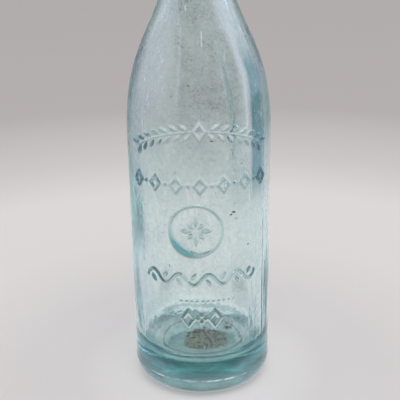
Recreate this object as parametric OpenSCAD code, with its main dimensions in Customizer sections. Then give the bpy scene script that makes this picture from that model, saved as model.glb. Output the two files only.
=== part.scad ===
// Crown-top glass soda bottle with its cork-lined crown and the dried residue on its floor.
// Millimetres, +Z up. The origin is the centre of the ring that the bottle stands on.

/* [Body] */
// Outside diameter of the straight body
body_d = 57; // [52:0.5:64]
// Thickness of the body's wall
wall = 3.4; // [2.4:0.1:4.6]
// Height at which the shoulder starts to turn in
shoulder_z = 105; // [85:1:115]
// How far the shoulder goes on upright before it turns in
shoulder_pull = 39; // [28:1:42]
// Height at which the shoulder has run out into the neck
neck_z = 170; // [158:1:176]
// How far the neck comes down upright before it flares out
neck_pull = 23; // [12:1:28]

/* [Base] */
// Height of the inside floor above the table
floor_t = 13.5; // [9:0.5:18]
// Radius of the fillet between the inside floor and the wall
floor_fillet = 8; // [3:0.5:10]
// Radius of the rounded heel
heel_r = 7.5; // [3:0.5:9]
// Width of the flat ring that the bottle stands on
stand_w = 3.6; // [2:0.2:5]
// Height of the hollow under the base at its centre
punt_h = 3.6; // [1:0.2:6]

/* [Neck] */
// Outside diameter of the neck
neck_d = 25.2; // [24:0.2:26]
// Diameter of the bore through the neck and the mouth
bore_d = 16; // [14:0.2:17]

/* [Finish] */
// Height of the top of the lip
bottle_h = 203; // [197:1:215]
// Diameter of the locking ring that the crown grips
ring_d = 26.6; // [26.2:0.1:27.2]
// Height of the locking ring, from the lip down to the groove
ring_h = 6.2; // [5:0.1:7]
// Radius of the locking ring's rounded top edge
ring_round = 2.6; // [1.6:0.1:2.8]
// Radius of the rounded inner edge of the mouth
mouth_round = 1.4; // [0.8:0.1:1.6]
// Diameter of the groove between the locking ring and the collar
groove_d = 24.4; // [23.4:0.2:25]
// Width of the groove
groove_w = 3; // [2:0.2:4]
// Diameter of the collar under the groove
collar_d = 27.6; // [27:0.2:29]
// Height of the collar's upright face
collar_h = 6.4; // [4:0.2:8]
// Height of the slopes above and below the collar
collar_slope = 1.8; // [1:0.2:2.4]

/* [Crown] */
// Thickness of the tinplate
plate = 0.3; // [0.2:0.05:0.5]
// Height of the crown over all
crown_h = 6.8; // [6:0.1:7.6]
// Number of flutes round the skirt
flutes = 24; // [18:1:28]
// How far the flutes stand out at the skirt's edge
flute_depth = 1.1; // [0.6:0.1:1.5]
// Radius of the crown's outer top edge
crown_round = 2.2; // [1.4:0.1:2.6]
// Clearance between the locking ring and the crown's skirt
skirt_gap = 0.3; // [0.2:0.05:0.5]
// Thickness of the cork disc
cork_t = 2.4; // [1.8:0.1:3]
// Clearance between the cork disc and the crown's skirt
cork_gap = 0.4; // [0.2:0.05:0.6]

/* [Residue] */
// Diameter of the dried film
film_d = 24; // [20:0.5:30]
// Thickness of the dried film
film_t = 0.3; // [0.2:0.05:0.5]
// How far the film's edge wanders in and out
film_wander = 1.3; // [0:0.1:2]
// How far the residue dried to the right of the middle
residue_x = 1.3; // [-3:0.1:3]
// How far the residue dried to the back of the middle
residue_y = -2; // [-3:0.1:3]
// Number of crumbs dried onto the film
grains = 46; // [20:1:70]
// Diameter of the patch that the crumbs lie in
patch_d = 18; // [14:0.5:19]
// Width of the widest crumb
grain_w = 1.3; // [0.8:0.1:1.6]
// Height of the tallest crumb
grain_h = 0.9; // [0.5:0.1:1.4]

/* [Hidden] */

body_r = body_d / 2;
neck_r = neck_d / 2;
bore_r = bore_d / 2;
ring_r = ring_d / 2;
collar_r = collar_d / 2;
groove_r = groove_d / 2;
inner_r = body_r - wall;
stand_r = body_r - heel_r;              // outer edge of the standing ring
punt_r = stand_r - stand_w;             // edge of the hollow under the base
groove_top = bottle_h - ring_h;
groove_bottom = groove_top - groove_w;
collar_top = groove_bottom - collar_slope;
collar_bottom = collar_top - collar_h;
neck_top = collar_bottom - collar_slope;

crown_under = bottle_h + cork_t;        // underside of the crown's top plate
crown_top = crown_under + plate;
skirt_in = ring_r + skirt_gap;          // inside of the skirt, between two flutes
skirt_bottom = crown_top - crown_h;
steps_per_flute = 6;
film_top = floor_t + film_t;

arc_steps = 6;
curve_steps = 16;
golden_angle = 137.508;
grain_seed = 11;
grain_sides = 6;
$fn = 96;

// Points on an arc about c, from angle a to angle b.
function arc(c, r, a, b, n = arc_steps) =
    [for (i = [0:n]) c + r * [cos(a + (b - a) * i / n), sin(a + (b - a) * i / n)]];

// Points on a curve that leaves p upright by u and reaches q upright by v.
function upright_curve(p, u, q, v, n = curve_steps) =
    [for (i = [0:n]) let (t = i / n, s = 1 - t)
        s^3 * p + 3 * s^2 * t * [p.x, p.y + u] + 3 * s * t^2 * [q.x, q.y - v] + t^3 * q];

// The shallow dome pressed up into the base, from its centre to the standing ring.
function punt() =
    let (r = (punt_r^2 + punt_h^2) / (2 * punt_h), edge = asin(punt_r / r))
    arc([0, punt_h - r], r, 90, 90 - edge);

// Outside of the glass, from the standing ring up to the neck.
function outside() = concat(
    arc([stand_r, heel_r], heel_r, -90, 0),
    upright_curve([body_r, shoulder_z], shoulder_pull, [neck_r, neck_z], neck_pull));

// The finish: collar, groove, locking ring and lip, from the neck to the mouth.
function finish() = concat(
    [[neck_r, neck_top], [collar_r, collar_bottom], [collar_r, collar_top],
     [groove_r, groove_bottom], [groove_r, groove_top]],
    [[ring_r, groove_top + ring_r - groove_r]],
    arc([ring_r - ring_round, bottle_h - ring_round], ring_round, 0, 90),
    arc([bore_r + mouth_round, bottle_h - mouth_round], mouth_round, 90, 180));

// Inside of the glass, from the neck down to the floor.
function inside() =
    let (down = upright_curve([inner_r, shoulder_z], shoulder_pull, [bore_r, neck_z], neck_pull))
    concat(
        [for (i = [len(down) - 1:-1:0]) down[i]],
        arc([inner_r - floor_fillet, floor_t + floor_fillet], floor_fillet, 0, -90),
        [[0, floor_t]]);

module glass_bottle() {
    color([0.62, 0.80, 0.82, 0.5])
        rotate_extrude()
            polygon(concat(punt(), outside(), finish(), inside()));
}

// One ring of points round the crown, at radius r and height z, with the flutes out by d.
function crown_ring(r, z, d) =
    let (n = flutes * steps_per_flute)
    [for (i = [0:n - 1])
        let (a = 360 * i / n, out = r + d * (1 + cos(a * flutes)) / 2)
        [out * cos(a), out * sin(a), z]];

// The rings of one face of the shell, from the top plate's edge down to the skirt's edge.
// The inner face lies inside the outer one by the plate's thickness.
function crown_face(inset) =
    let (corner = crown_round - inset, r = skirt_in + plate - crown_round, z = crown_top - crown_round)
    concat(
        [for (a = [90:-30:0]) crown_ring(r + corner * cos(a), z + corner * sin(a), 0)],
        [for (s = [0.25:0.25:1])
            crown_ring(skirt_in + plate - inset, z - s * (z - skirt_bottom), flute_depth * s^1.3)]);

module crown_shell() {
    outer = crown_face(0);
    inner = crown_face(plate);
    rings = concat(outer, [for (i = [len(inner) - 1:-1:0]) inner[i]]);
    n = len(rings[0]);
    last = len(rings) - 1;
    color([0.72, 0.70, 0.66])
        polyhedron(
            points = [for (ring = rings) each ring],
            faces = concat(
                [[for (i = [n - 1:-1:0]) i]],
                [for (k = [0:last - 1], i = [0:n - 1])
                    let (j = (i + 1) % n)
                    [k * n + i, k * n + j, (k + 1) * n + j, (k + 1) * n + i]],
                [[for (i = [0:n - 1]) last * n + i]]),
            convexity = 4);
}

// The cork disc fills the crown's top, so its upper edge is rounded as the shell's corner is.
module cork_disc() {
    cork_r = skirt_in - cork_gap;
    edge = min(crown_round - plate, 0.8 * cork_t);
    color([0.66, 0.50, 0.34])
        rotate_extrude()
            polygon(concat(
                [[0, bottle_h], [cork_r, bottle_h]],
                arc([cork_r - edge, crown_under - edge], edge, 0, 90),
                [[0, crown_under]]));
}

// The film dried in a round pool whose edge wandered.
module residue_film() {
    color([0.55, 0.50, 0.40])
        translate([residue_x, residue_y, floor_t])
            linear_extrude(film_t)
                polygon([for (a = [0:10:350])
                    let (r = film_d / 2 - film_wander * (1 + 0.6 * sin(3 * a) + 0.4 * cos(5 * a)) / 2)
                    r * [cos(a), sin(a)]]);
}

// Crumbs on the film, spread by the golden angle out to the patch's edge.
module residue_grains() {
    share = rands(0.35, 1, grains, grain_seed);
    reach = (patch_d - grain_w) / 2;
    color([0.28, 0.22, 0.16])
        translate([residue_x, residue_y, film_top])
            for (i = [0:grains - 1])
                rotate(i * golden_angle)
                    translate([reach * sqrt((i + 0.5) / grains), 0])
                        cylinder(h = grain_h * share[i], d = grain_w * share[i], $fn = grain_sides);
}

glass_bottle();
crown_shell();
cork_disc();
residue_film();
residue_grains();
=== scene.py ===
"""An aqua glass soda bottle with its fluted crown, cork lining and dried residue, in a soft studio."""

import math

import bpy
import numpy as np
from mathutils import Matrix, Vector


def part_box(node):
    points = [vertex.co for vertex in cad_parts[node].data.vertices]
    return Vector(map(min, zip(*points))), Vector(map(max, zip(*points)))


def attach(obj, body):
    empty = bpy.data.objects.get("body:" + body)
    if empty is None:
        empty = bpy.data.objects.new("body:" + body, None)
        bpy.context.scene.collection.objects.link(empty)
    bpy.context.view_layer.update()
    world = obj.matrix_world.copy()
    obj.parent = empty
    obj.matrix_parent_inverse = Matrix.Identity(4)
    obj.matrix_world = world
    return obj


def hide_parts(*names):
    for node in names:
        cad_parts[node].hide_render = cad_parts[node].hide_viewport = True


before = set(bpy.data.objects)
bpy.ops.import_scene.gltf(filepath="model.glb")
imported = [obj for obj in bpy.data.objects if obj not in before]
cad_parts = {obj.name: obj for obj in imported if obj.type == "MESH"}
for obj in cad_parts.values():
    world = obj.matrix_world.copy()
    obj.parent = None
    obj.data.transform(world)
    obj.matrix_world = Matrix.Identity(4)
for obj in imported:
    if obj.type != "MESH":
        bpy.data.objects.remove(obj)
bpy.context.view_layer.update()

MM = 0.001
TURN = 2 * math.pi


# ---------------------------------------------------------------- sizes, in millimetres

glass_low, glass_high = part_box("glass_bottle")
crown_low, crown_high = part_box("crown_shell")
cork_low, cork_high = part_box("cork_disc")
film_low, film_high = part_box("residue_film")

BODY_R = (glass_high.x - glass_low.x) / 2 / MM
BOTTLE_H = glass_high.z / MM
WALL = 3.4
INNER_R = BODY_R - WALL
SHOULDER_Z = 105.0
SHOULDER_PULL = 39.0
NECK_Z = 170.0
NECK_PULL = 23.0
NECK_R = 12.6
BORE_R = 8.0

FLOOR_Z = film_low.z / MM
FLOOR_FILLET = 8.0
HEEL_R = 7.5
STAND_W = 3.6
PUNT_H = 3.6
STAND_R = BODY_R - HEEL_R
PUNT_R = STAND_R - STAND_W
CREASE_R = INNER_R - FLOOR_FILLET

RING_R = 13.3
RING_H = 6.2
GROOVE_R = 12.2
GROOVE_W = 3.0
COLLAR_R = 13.8
COLLAR_H = 6.4
COLLAR_SLOPE = 1.8

CROWN_TOP = crown_high.z / MM
SKIRT_EDGE = crown_low.z / MM
PLATE = 0.3
FLUTES = 24
FLUTE_DEPTH = 1.1
CROWN_ROUND = 2.2
SKIRT_OUT = crown_high.x / MM - FLUTE_DEPTH

GOLDEN = (1 + math.sqrt(5)) / 2
CRUMBS = 180
CRUMB_WIDTH = 1.15
PATCH_R = 9.0

CORK_R = cork_high.x / MM
CORK_TOP = cork_high.z / MM
CORK_BOTTOM = cork_low.z / MM


# ---------------------------------------------------------------- shader maths

def colour(red, green, blue):
    """A colour given in the 0 to 255 of a paint chart, as the light values that a shader takes."""
    def light(part):
        part /= 255
        return part / 12.92 if part <= 0.04045 else ((part + 0.055) / 1.055) ** 2.4
    return (light(red), light(green), light(blue), 1.0)


class Wire:
    """A socket in a node tree. Arithmetic on it adds Math nodes."""

    def __init__(self, nodes, socket):
        self.nodes = nodes
        self.socket = socket

    def _math(self, operation, *values):
        return self.nodes.add("ShaderNodeMath", {"operation": operation}, list(values))

    def __add__(self, other):
        return self._math("ADD", self, other)

    def __sub__(self, other):
        return self._math("SUBTRACT", self, other)

    def __rsub__(self, other):
        return self._math("SUBTRACT", other, self)

    def __mul__(self, other):
        return self._math("MULTIPLY", self, other)

    def __truediv__(self, other):
        return self._math("DIVIDE", self, other)

    __radd__ = __add__
    __rmul__ = __mul__

    def most(self, other):
        return self._math("MAXIMUM", self, other)


class Nodes:
    """A material's node tree, or the world's."""

    def __init__(self, tree):
        self.tree = tree
        tree.nodes.clear()

    def add(self, kind, settings=None, inputs=None, out=0):
        """Any node: its settings are set first, then its sockets by name or by order."""
        node = self.tree.nodes.new(kind)
        for name, value in (settings or {}).items():
            if name == "stops":
                self._stops(node.color_ramp, value)
            else:
                setattr(node, name, value)
        items = inputs.items() if isinstance(inputs, dict) else enumerate(inputs or [])
        for key, value in items:
            if isinstance(value, Wire):
                self.tree.links.new(value.socket, node.inputs[key])
            else:
                node.inputs[key].default_value = value
        return Wire(self, node.outputs[out]) if len(node.outputs) else node

    def _stops(self, ramp, stops):
        while len(ramp.elements) < len(stops):
            ramp.elements.new(0.5)
        for element, (place, value) in zip(ramp.elements, stops):
            element.position = place
            element.color = value if isinstance(value, tuple) else (value, value, value, 1)

    def place(self):
        """Where a point lies on the piece, in metres."""
        return self.add("ShaderNodeTexCoord", out="Object")

    def along(self, axis):
        """Where a point lies along one axis, in millimetres."""
        return self.part(self.place(), axis) / MM

    def away(self):
        """How far a point lies from the bottle's axis, in millimetres."""
        x, y = self.along("X"), self.along("Y")
        return self.add("ShaderNodeMath", {"operation": "SQRT"}, [x * x + y * y])

    def part(self, vector, axis):
        return self.add("ShaderNodeSeparateXYZ", inputs=[vector], out=axis)

    def stretched(self, x, y, z):
        """The place, stretched by a factor along each axis."""
        return self.add("ShaderNodeVectorMath", {"operation": "MULTIPLY"}, [self.place(), (x, y, z)])

    def noise(self, size_mm, detail=3.0, rough=0.55, where=None, warp=0.0):
        """Cloudy noise from 0 to 1 whose patches are about size_mm across."""
        inputs = {"Vector": where or self.place(), "Scale": 1 / (size_mm * MM), "Detail": detail,
                  "Roughness": rough, "Distortion": warp}
        return self.add("ShaderNodeTexNoise", inputs=inputs)

    def ramp(self, value, *stops, mode="LINEAR"):
        return self.add("ShaderNodeMapRange", {"interpolation_type": mode, "clamp": True},
                        {"Value": value, "From Min": stops[0], "From Max": stops[1],
                         "To Min": stops[2], "To Max": stops[3]})

    def smooth(self, value, low, high, start=0.0, end=1.0):
        return self.ramp(value, low, high, start, end, mode="SMOOTHSTEP")

    def ebb(self, value, low, high):
        """1 up to one value, easing down to 0 at a higher one."""
        return self.smooth(value, low, high, 1.0, 0.0)

    def band(self, value, start, full, fading, end):
        """0 outside two values, easing up to 1 between them."""
        return self.smooth(value, start, full) * self.ebb(value, fading, end)

    def mix(self, share, first, second):
        """A colour between two, by a share from 0 to 1."""
        node = self.tree.nodes.new("ShaderNodeMix")
        node.data_type = "RGBA"
        for name, value in (("Factor_Float", share), ("A_Color", first), ("B_Color", second)):
            socket = next(s for s in node.inputs if s.identifier == name)
            if isinstance(value, Wire):
                self.tree.links.new(value.socket, socket)
            else:
                socket.default_value = value
        return Wire(self, next(s for s in node.outputs if s.identifier == "Result_Color"))

    def layered(self, tone, *layers):
        """A colour with others laid over it in turn, each by its share from 0 to 1."""
        for share, over in layers:
            tone = self.mix(share, tone, over)
        return tone

    def finish(self, inputs):
        """Ends the tree in one plain surface."""
        surface = self.add("ShaderNodeBsdfPrincipled", inputs=inputs)
        self.add("ShaderNodeOutputMaterial", inputs={"Surface": surface})

    def bump(self, height, depth_mm, strength=1.0):
        return self.add("ShaderNodeBump", inputs={"Height": height, "Distance": depth_mm * MM,
                                                  "Strength": strength})


def material(name):
    made = bpy.data.materials.new(name)
    made.use_nodes = True
    return made, Nodes(made.node_tree)


# ---------------------------------------------------------------- mesh making

def make_piece(name, points_mm, faces, finish, body=None):
    """A smooth mesh piece from points in millimetres, riding on a body unless it is part of the stage."""
    mesh = bpy.data.meshes.new(name)
    mesh.from_pydata([tuple(p) for p in np.asarray(points_mm) * MM], [], faces)
    mesh.validate()
    mesh.polygons.foreach_set("use_smooth", [True] * len(mesh.polygons))
    mesh.materials.append(finish)
    piece = bpy.data.objects.new(name, mesh)
    bpy.context.scene.collection.objects.link(piece)
    if body:
        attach(piece, body)
    return piece


def arc(centre, radius, start, end, steps=6):
    """Points on an arc about a centre, by angles in degrees."""
    turns = np.radians(np.linspace(start, end, steps + 1))
    return [(centre[0] + radius * math.cos(t), centre[1] + radius * math.sin(t)) for t in turns]


def upright_curve(low, low_pull, high, high_pull, steps=60):
    """A curve that leaves one point upright and reaches another upright."""
    t = np.linspace(0, 1, steps + 1)[:, None]
    ends = np.array([low, (low[0], low[1] + low_pull), (high[0], high[1] - high_pull), high], float)
    s = 1 - t
    return s**3 * ends[0] + 3 * s**2 * t * ends[1] + 3 * s * t**2 * ends[2] + t**3 * ends[3]


def eased(points, steps=4):
    """A profile of (radius, height, rounding) corners, each corner rounded by an arc."""
    out = [points[0][:2]]
    for before, here, after in zip(points, points[1:], points[2:]):
        corner = np.array(here[:2], float)
        back, ahead = np.array(before[:2]) - corner, np.array(after[:2]) - corner
        back, ahead = back / np.linalg.norm(back), ahead / np.linalg.norm(ahead)
        half = math.acos(max(-1.0, min(1.0, float(back @ ahead)))) / 2
        reach = here[2] / math.tan(half)
        middle = corner + (back + ahead) / np.linalg.norm(back + ahead) * here[2] / math.sin(half)
        start, end = corner + back * reach - middle, corner + ahead * reach - middle
        a, b = math.atan2(start[1], start[0]), math.atan2(end[1], end[0])
        b += TURN * round((a - b) / TURN)
        turns = np.linspace(a, b, steps + 1)
        out += [tuple(middle + here[2] * np.array([math.cos(t), math.sin(t)])) for t in turns]
    return out + [points[-1][:2]]


# The outside and the inside of the shoulder, from the body up to the neck.
SHOULDER = upright_curve((BODY_R, SHOULDER_Z), SHOULDER_PULL, (NECK_R, NECK_Z), NECK_PULL)
INSIDE = upright_curve((INNER_R, SHOULDER_Z), SHOULDER_PULL, (BORE_R, NECK_Z), NECK_PULL)


def span(z, low, full, fading, high):
    """0 outside two heights and 1 between them, easing in straight lines."""
    return np.clip((z - low) / (full - low), 0, 1) * np.clip((high - z) / (high - fading), 0, 1)


def revolve(rings, poles=(None, None)):
    """Points and faces of stacked rings. Each ring is (angles, radii, heights), and where neighbours
    differ, one ring's angles are the other's with more between them. A pole closes an end."""
    points, starts = [], []
    for angles, radii, heights in rings:
        starts.append(len(points))
        radii = np.broadcast_to(radii, angles.shape)
        heights = np.broadcast_to(heights, angles.shape)
        points += list(np.stack([radii * np.sin(angles), -radii * np.cos(angles), heights], 1))
    faces = []
    for k, (lower, upper) in enumerate(zip(rings, rings[1:])):
        faces += ring_faces(lower[0], starts[k], upper[0], starts[k + 1])
    for end, pole in zip((0, -1), poles):
        if pole is None:
            continue
        count = len(rings[end][0])
        tip = len(points)
        points.append(np.array([0.0, 0.0, pole]))
        for i in range(count):
            edge = (starts[end] + i, starts[end] + (i + 1) % count)
            faces.append((tip, *(reversed(edge) if end == 0 else edge)))
    return np.array(points), faces


def ring_faces(low_angles, low_start, high_angles, high_start):
    """The faces between two rings. The one with fewer points sets the count of faces."""
    flip = len(low_angles) > len(high_angles)
    few, many = (high_angles, low_angles) if flip else (low_angles, high_angles)
    few_start, many_start = (high_start, low_start) if flip else (low_start, high_start)
    marks = np.searchsorted(many, few - 1e-9)
    faces = []
    for i in range(len(few)):
        j = (i + 1) % len(few)
        stop = marks[j] if j else len(many)
        run = [many_start + m % len(many) for m in range(marks[i], stop + 1)]
        face = [few_start + i, few_start + j, *reversed(run)]
        faces.append(tuple(reversed(face)) if flip else tuple(face))
    return faces


# ---------------------------------------------------------------- raised ornament on the front

RELIEF = 0.75
FLANK = 0.75


def stroke(distance, half=0.85, height=RELIEF):
    """A raised line with a narrow flat top and steep flanks."""
    t = np.clip((half - np.abs(distance)) / FLANK, 0, 1)
    return height * t * t * (3 - 2 * t)


def boss(distance, flank=FLANK, height=RELIEF):
    """A solid raised form, from a distance that is below 0 inside it."""
    t = np.clip(-distance / flank, 0, 1)
    return height * t * t * (3 - 2 * t)


def leaf(x, y, length, width):
    """Distance to a pointed leaf that lies along x with its middle at the origin."""
    reach = (length**2 + width**2) / (4 * width)
    shift = reach - width / 2
    return np.maximum(np.hypot(x, y - shift), np.hypot(x, y + shift)) - reach


def lozenge(x, y, half_w, half_h):
    """Distance to a lozenge about the origin."""
    return (np.abs(x) / half_w + np.abs(y) / half_h - 1) * half_w * half_h / math.hypot(half_w, half_h)


def lump(angle, middle, spread):
    """A soft swelling about one angle, 1 at its middle."""
    away = (angle - middle + math.pi) % TURN - math.pi
    return np.exp(-(away / spread) ** 2)


def turned(x, y, angle):
    """The same place, seen from axes turned by an angle."""
    c, s = math.cos(angle), math.sin(angle)
    return c * x + s * y, c * y - s * x


ARCH_TOP = 112.4
ARCH_R = 52.0
ARCH_SPAN = math.radians(30.5)
ARCH_PAIRS = 7
LEAF_L = 4.6
LEAF_W = 1.9

BAND_Z = 92.0
BAND_HALF = 27.0
BAND_STEP = 9.0

ROSE_X = -1.8
ROSE_Z = 74.0
ROSE_R = 10.2
POINTS = 8

VINE_Z = 53.6
VINE_HALF = 23.0
VINE_LENGTH = 11.5
VINE_RISE = 2.3

TRIO_Z = 36.9
BEAD_Z = 44.2


def garland(x, z):
    """Two laurel sprigs that rise along an arch and meet at a lozenge."""
    along = np.arctan2(x, z - (ARCH_TOP - ARCH_R))
    across = np.hypot(x, z - (ARCH_TOP - ARCH_R)) - ARCH_R
    side = np.abs(along) * ARCH_R
    rise = stroke(lozenge(side, across, 1.9, 2.9))
    past = np.maximum(np.maximum(3.2 - side, side - ARCH_SPAN * ARCH_R), 0)
    rise = np.maximum(rise, stroke(np.hypot(past, across), 0.6, 0.6 * RELIEF))
    step = (ARCH_SPAN * ARCH_R - 4.5) / (ARCH_PAIRS - 1)
    for k in range(ARCH_PAIRS):
        for hand in (-1, 1):
            middle = 4.6 + (k + (0.25 if hand > 0 else 0)) * step
            leaf_x, leaf_y = turned(middle - side, across - hand * 1.8, hand * math.radians(-38))
            rise = np.maximum(rise, boss(leaf(leaf_x, leaf_y, LEAF_L, LEAF_W)))
    return rise


def lozenge_band(x, z):
    """Open lozenges in a straight row, with a pellet between each two."""
    y = z - BAND_Z
    rise = np.zeros_like(x)
    for middle in np.arange(-BAND_HALF, BAND_HALF + 0.1, BAND_STEP):
        rise = np.maximum(rise, stroke(lozenge(x - middle, y, 2.1, 2.7)))
        if middle < BAND_HALF - 1:
            rise = np.maximum(rise, boss(np.hypot(x - middle - BAND_STEP / 2, y) - 0.95))
    return rise


def rosette(x, z):
    """An eight-pointed star in a ring. The ring is heavier at its lower left."""
    x, y = x - ROSE_X, z - ROSE_Z
    heavy = lump(np.arctan2(y, x), math.radians(-128), 0.75)
    width = 0.85 + 1.6 * heavy
    away = np.clip((width - np.abs(np.hypot(x, y) - ROSE_R + 0.7 * heavy)) / (FLANK + heavy), 0, 1)
    rise = (RELIEF + 0.45 * heavy) * away * away * (3 - 2 * away)
    for k in range(POINTS):
        length = 6.6 if k % 2 == 0 else 4.8
        point_x, point_y = turned(x, y, TURN * k / POINTS)
        rise = np.maximum(rise, boss(lozenge(point_x - length / 2 - 0.5, point_y, length / 2, 1.35)))
    return rise


def vine(x, z):
    """A waving stem with a leaf in each of its bays."""
    y = z - VINE_Z
    phase = TURN / VINE_LENGTH
    slope = VINE_RISE * phase * np.cos(phase * x)
    distance = (y - VINE_RISE * np.sin(phase * x)) / np.sqrt(1 + slope**2)
    past = np.maximum(np.abs(x) - VINE_HALF, 0)
    rise = stroke(np.hypot(distance, past))
    for k, middle in enumerate(np.arange(-VINE_HALF + VINE_LENGTH / 4, VINE_HALF, VINE_LENGTH / 2)):
        hand = -1 if k % 2 == 0 else 1
        leaf_x, leaf_y = turned(x - middle, y - hand * 1.3, hand * math.radians(52))
        rise = np.maximum(rise, boss(leaf(leaf_x, leaf_y, 4.4, 2.0)))
    return rise


def trio(x, z):
    """A quatrefoil between two open lozenges, with a row of fine beads over it."""
    y = z - TRIO_Z
    rise = np.zeros_like(x)
    for middle in (-5.2, 5.2):
        rise = np.maximum(rise, stroke(lozenge(x - middle, y, 2.3, 3.3)))
    for k in range(4):
        lobe_x, lobe_y = turned(x, y, TURN * k / 4)
        rise = np.maximum(rise, boss(np.hypot(lobe_x - 1.4, lobe_y) - 1.15))
    for middle in np.arange(-8.0, 15.0, 2.1):
        rise = np.maximum(rise, boss(np.hypot(x - middle, z - BEAD_Z) - 0.6, 0.4, 0.25))
    return rise


SEAM = math.radians(60)
SEAMS = (SEAM, SEAM - math.pi)
SEAM_W = 0.75
SEAM_RISE = 0.10
PANEL_X = (-23.0, 21.4)
PANEL_Z = (26.5, 97.5)
PANEL_CORNER = 5.0
PANEL_LINE_W = 0.7


def mould_lines(angle, x, z):
    """The fine raised lines that the mould's halves and its inset panel left."""
    rise = np.zeros_like(x)
    for seam in SEAMS:
        away = (angle - seam + math.pi) % TURN - math.pi
        rise = np.maximum(rise, stroke(away * BODY_R, SEAM_W, SEAM_RISE))
    middle_x, middle_z = sum(PANEL_X) / 2, sum(PANEL_Z) / 2
    over_x = np.abs(x - middle_x) - (PANEL_X[1] - PANEL_X[0]) / 2 + PANEL_CORNER
    over_z = np.abs(z - middle_z) - (PANEL_Z[1] - PANEL_Z[0]) / 2 + PANEL_CORNER
    past = np.hypot(np.maximum(over_x, 0), np.maximum(over_z, 0))
    outline = past + np.minimum(np.maximum(over_x, over_z), 0) - PANEL_CORNER
    height = 0.04 + 0.18 * np.clip((x - middle_x) / 20, 0, 1)
    return np.maximum(rise, stroke(outline, PANEL_LINE_W, 1.0) * height)


# Each ornament with the heights and the sideways reach that it lies within.
ORNAMENTS = (
    (trio, 32.8, 45.4, -9.5, 15.0),
    (vine, 49.4, 57.8, -24.5, 24.5),
    (rosette, 62.2, 85.8, -13.0, 9.5),
    (lozenge_band, 88.0, 96.0, -30.2, 30.2),
    (garland, 98.2, 117.4, -31.0, 31.0),
)


def ornament_rise(x, z):
    """How far the ornaments stand out at any point of the body."""
    rise = np.zeros_like(x)
    for ornament, low, high, left, right in ORNAMENTS:
        here = (z >= low) & (z <= high) & (x > left) & (x < right)
        rise[here] = ornament(x[here], z[here])
    return rise


# ---------------------------------------------------------------- the glass's shape

# Steps between the points of the glass: over an ornament, up the plain glass, and round it.
FINE_STEP = 0.27
PLAIN_STEP = 1.5
COARSE = TURN / 128

# Closer points round the glass: at each mould seam, and at the two streaks of the shoulder, in degrees.
SEAM_SPREAD = np.radians([-1.2, -0.8, -0.4, 0, 0.4, 0.8, 1.2])
CLOSE_STRETCHES = ((25, 66), (322, 346))
CLOSE_STEP = 1.2


def plain_angles():
    """Angles round the bottle, 0 at the front, with more at the seams and the streaks."""
    even = np.arange(0, TURN - COARSE / 2, COARSE)
    seams = [seam % TURN + SEAM_SPREAD for seam in SEAMS]
    close = [np.radians(np.arange(start, stop, CLOSE_STEP)) for start, stop in CLOSE_STRETCHES]
    return np.unique(np.round(np.concatenate([even, *seams, *close]), 9))


def fine_angles(plain, left, right):
    """The plain angles, with more between them from left to right over the front."""
    out = []
    for here, there in zip(plain, np.append(plain[1:], TURN)):
        middle = ((here + there) / 2 + math.pi) % TURN - math.pi
        inside = left < middle * BODY_R < right
        split = max(1, round((there - here) * BODY_R / FINE_STEP)) if inside else 1
        out += [here + (there - here) * k / split for k in range(split)]
    return np.array(out)


def outer_wave(angle, z):
    """Slow unevenness of the outside, never over the true radius."""
    wave = np.sin(2 * angle + z / 31 + 0.6) + np.sin(3 * angle - z / 23 + 2.0)
    wave = wave + 0.6 * np.sin(5 * angle + z / 13)
    return -0.03 * (2.6 + wave) / 2.6


def heavy_side(angle, z):
    """Where the inside sagged thick down one side of the shoulder, from 0 to 1."""
    middle = np.radians(np.interp(z, (93, 118, 141), (34, 36, 29)))
    return lump(angle, middle, 0.15) * span(z, 78, 100, 140, 156)


# The near and far edges of the dark band on the outside of that side, in degrees, by height. The band is a
# tint of thick glass, darkened further as painted shade.
BAND_HEIGHTS = (93, 118, 131, 141)
BAND_NEAR = (42, 42.5, 44, 38)
BAND_FAR = (62, 64, 66, 60)


def heavy_tint_and_painted_shade(angle, z):
    """Where the outside is tinted as thick glass in dark bands, darkened further as painted shade, from 0 to
    1.
    """
    near = np.radians(np.interp(z, BAND_HEIGHTS, BAND_NEAR))
    far = np.radians(np.interp(z, BAND_HEIGHTS, BAND_FAR))
    band = np.clip((angle - near) / 0.05, 0, 1) * np.clip((far - angle) / 0.12, 0, 1)
    band *= span(z, 82, 92, 135, 147)
    thread = 0.4 * lump(angle, math.radians(50), 0.05) * span(z, 138, 143, 154, 160)
    left_strip = 0.4 * lump(angle, math.radians(-70), 0.2) * span(z, 58, 68, 94, 106)
    return np.maximum(np.maximum(band, thread), left_strip)


# The painted highlight along the band's near edge, by height: its place in degrees, and its spread.
LINE_HEIGHTS = (93, 118, 131, 141, 148, 157)
LINE_PLACES = (39, 39.5, 40.6, 38, 34, 32)
LINE_SPREADS = (0.035, 0.035, 0.05, 0.10, 0.16, 0.24)

# The fainter painted highlight across the shoulder from it.
FAINT_HEIGHTS = (119, 132, 145, 157)
FAINT_PLACES = (-18, -16, -18, -30)


def band_edge(angle, z):
    """The painted highlights along the near edge of the dark band and across from it, from 0 to 1."""
    middle = np.radians(np.interp(z, LINE_HEIGHTS, LINE_PLACES))
    line = lump(angle, middle, np.interp(z, LINE_HEIGHTS, LINE_SPREADS)) * span(z, 94, 108, 160, 168)
    middle = np.radians(np.interp(z, FAINT_HEIGHTS, FAINT_PLACES))
    faint = 0.6 * lump(angle, middle, 0.03) * span(z, 116, 126, 160, 168)
    return np.maximum(line, faint)


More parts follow.
